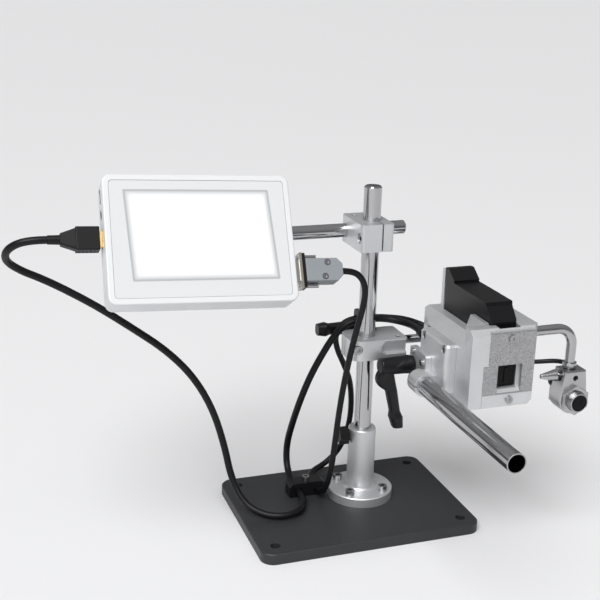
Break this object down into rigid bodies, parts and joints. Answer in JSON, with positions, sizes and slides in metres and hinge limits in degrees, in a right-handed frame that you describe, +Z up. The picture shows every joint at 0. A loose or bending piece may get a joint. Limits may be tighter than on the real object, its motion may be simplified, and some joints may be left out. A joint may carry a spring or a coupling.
{
  "type": "inkjet printer",
  "caption": "Date code inkjet printer: a touch controller and a print head clamped to a post on a base plate, with ink cartridge, guide tube, product sensor, clamping levers and cables.",
  "frame": {"origin": "on the post's axis, in the plane of the base plate's underside", "axes": "+X along the line that carries the products, towards the print head; +Y away from the operator; +Z up along the post"},
  "size_m": [0.5217, 0.29, 0.3312],
  "materials": {
    "base_paint": "satin powder coat",
    "polished_steel": "highly polished stainless steel",
    "clamp_aluminium": "bead-blasted, clear anodised",
    "screw_steel": "bright zinc",
    "black_screw": "black oxide",
    "lever_black": "fine moulded texture",
    "case_white": "satin white moulding",
    "screen_glass": "white back-printed cover",
    "screen_panel": "lit white screen",
    "circuit_board": "green solder mask",
    "socket_metal": "nickel plated",
    "gold_shell": "gold plated",
    "plug_black": "ribbed moulding",
    "hood_grey": "grained moulding",
    "head_metal": "cast and machined",
    "front_grain": "coarse sparkling grain",
    "cartridge_black": "semi-gloss moulding",
    "nozzle_metal": "etched nozzle plate",
    "nickel": "nickel plated",
    "lens_black": "dark optical window",
    "cable_black": "smooth flexible jacket"
  },
  "bodies": {
    "stand": {"base_plate": "base_paint", "base_socket": "clamp_aluminium", "post": "polished_steel", "stand_screws": "screw_steel", "cable_clip": "lever_black", "upper_clamp": "clamp_aluminium", "control_rod": "polished_steel", "head_cable_down": "cable_black", "signal_cable_down": "cable_black", "head_cable_up": "cable_black", "signal_cable_up": "cable_black"},
    "post_knob": {"base_knob": "lever_black"},
    "controller": {"controller_bracket": "clamp_aluminium", "controller_screws": "screw_steel", "rear_housing": "case_white", "front_bezel": "case_white", "touch_glass": "screen_glass", "lcd_module": "screen_panel", "main_board": "circuit_board", "side_sockets": "socket_metal", "signal_socket": "socket_metal", "hdmi_plug_shell": "gold_shell", "hdmi_plug_body": "plug_black", "hdmi_relief": "plug_black", "signal_plug_flange": "plug_black", "signal_plug_hood": "hood_grey"},
    "upper_screw": {"upper_thumbscrew": "screw_steel"},
    "lower_screw": {"lower_thumbscrew": "screw_steel"},
    "clamp": {"lower_clamp_front": "clamp_aluminium", "lower_clamp_back": "clamp_aluminium", "lower_clamp_screws": "screw_steel", "link_rod": "polished_steel", "cable_saddle": "lever_black"},
    "rear_handle": {"rear_lever": "lever_black"},
    "head": {"head_body": "head_metal", "head_front_plate": "front_grain", "front_lower_bar": "head_metal", "head_screws": "screw_steel", "side_cover": "head_metal", "driver_board": "circuit_board", "head_bracket": "clamp_aluminium", "cartridge_guides": "clamp_aluminium", "contact_board": "circuit_board", "cable_glands": "plug_black", "head_cable_end": "cable_black", "signal_cable_end": "cable_black", "sensor_lead": "cable_black"},
    "front_handle": {"clamp_lever": "lever_black"},
    "tube": {"guide_tube": "polished_steel"},
    "cartridge": {"cartridge_body": "cartridge_black", "cartridge_lid": "cartridge_black", "cartridge_nose": "nozzle_metal"},
    "arm": {"sensor_arm": "nickel"},
    "sensor_holder": {"sensor_block": "nickel", "sensor_set_screw": "black_screw", "sensor_nuts": "nickel"},
    "grip_screw": {"taper_screw": "nickel"},
    "sensor": {"sensor_barrel": "nickel", "sensor_lens": "lens_black", "sensor_gland": "plug_black"}
  },
  "joints": [
    {"name": "post_knob_turn", "type": "hinge", "parent": "stand", "child": "post_knob", "pos_m": [-0.015, 0, 0.073], "axis": [1, 0, 0], "continuous": true},
    {"name": "controller_tilt", "type": "hinge", "parent": "stand", "child": "controller", "pos_m": [-0.1635, 0.02, 0.2674], "axis": [1, 0, 0], "range_deg": [-20, 20], "deforming": ["head_cable_down", "signal_cable_down"]},
    {"name": "upper_screw_turn", "type": "hinge", "parent": "controller", "child": "upper_screw", "pos_m": [-0.07353, -0.02542, 0.25744], "axis": [0.9986, -0.0269, -0.0449], "continuous": true},
    {"name": "lower_screw_turn", "type": "hinge", "parent": "controller", "child": "lower_screw", "pos_m": [-0.07484, -0.03827, 0.23604], "axis": [0.9986, -0.0269, -0.0449], "continuous": true},
    {"name": "head_height", "type": "slide", "parent": "stand", "child": "clamp", "axis": [0, 0, 1], "range_m": [-0.035, 0.03], "deforming": ["head_cable_up", "signal_cable_up"]},
    {"name": "rear_handle_turn", "type": "hinge", "parent": "clamp", "child": "rear_handle", "pos_m": [0.0135, 0.018, 0.164], "axis": [0, 1, 0], "range_deg": [-55, 55]},
    {"name": "head_tilt", "type": "hinge", "parent": "clamp", "child": "head", "pos_m": [0.04, 0, 0.164], "axis": [1, 0, 0], "range_deg": [-12, 12], "deforming": ["head_cable_end", "signal_cable_end"]},
    {"name": "front_handle_turn", "type": "hinge", "parent": "head", "child": "front_handle", "pos_m": [0.035, -0.027, 0.15], "axis": [1, 0, 0], "range_deg": [-40, 32]},
    {"name": "tube_reach", "type": "slide", "parent": "head", "child": "tube", "axis": [0, -1, 0], "range_m": [0, 0.012]},
    {"name": "cartridge_lift", "type": "slide", "parent": "head", "child": "cartridge", "axis": [0, 0, 1], "range_m": [0, 0.09]},
    {"name": "arm_swing", "type": "hinge", "parent": "head", "child": "arm", "pos_m": [0.118, -0.091, 0.1955], "axis": [1, 0, 0], "range_deg": [-30, 30], "deforming": ["sensor_lead"]},
    {"name": "sensor_swivel", "type": "hinge", "parent": "arm", "child": "sensor_holder", "pos_m": [0.16, -0.091, 0.15], "axis": [0, 0, 1], "range_deg": [-40, 40]},
    {"name": "grip_screw_turn", "type": "hinge", "parent": "sensor_holder", "child": "grip_screw", "pos_m": [0.14, -0.091, 0.1515], "axis": [1, 0, 0], "continuous": true},
    {"name": "sensor_reach", "type": "slide", "parent": "sensor_holder", "child": "sensor", "axis": [0, -1, 0], "range_m": [-0.003, 0.004]}
  ]
}
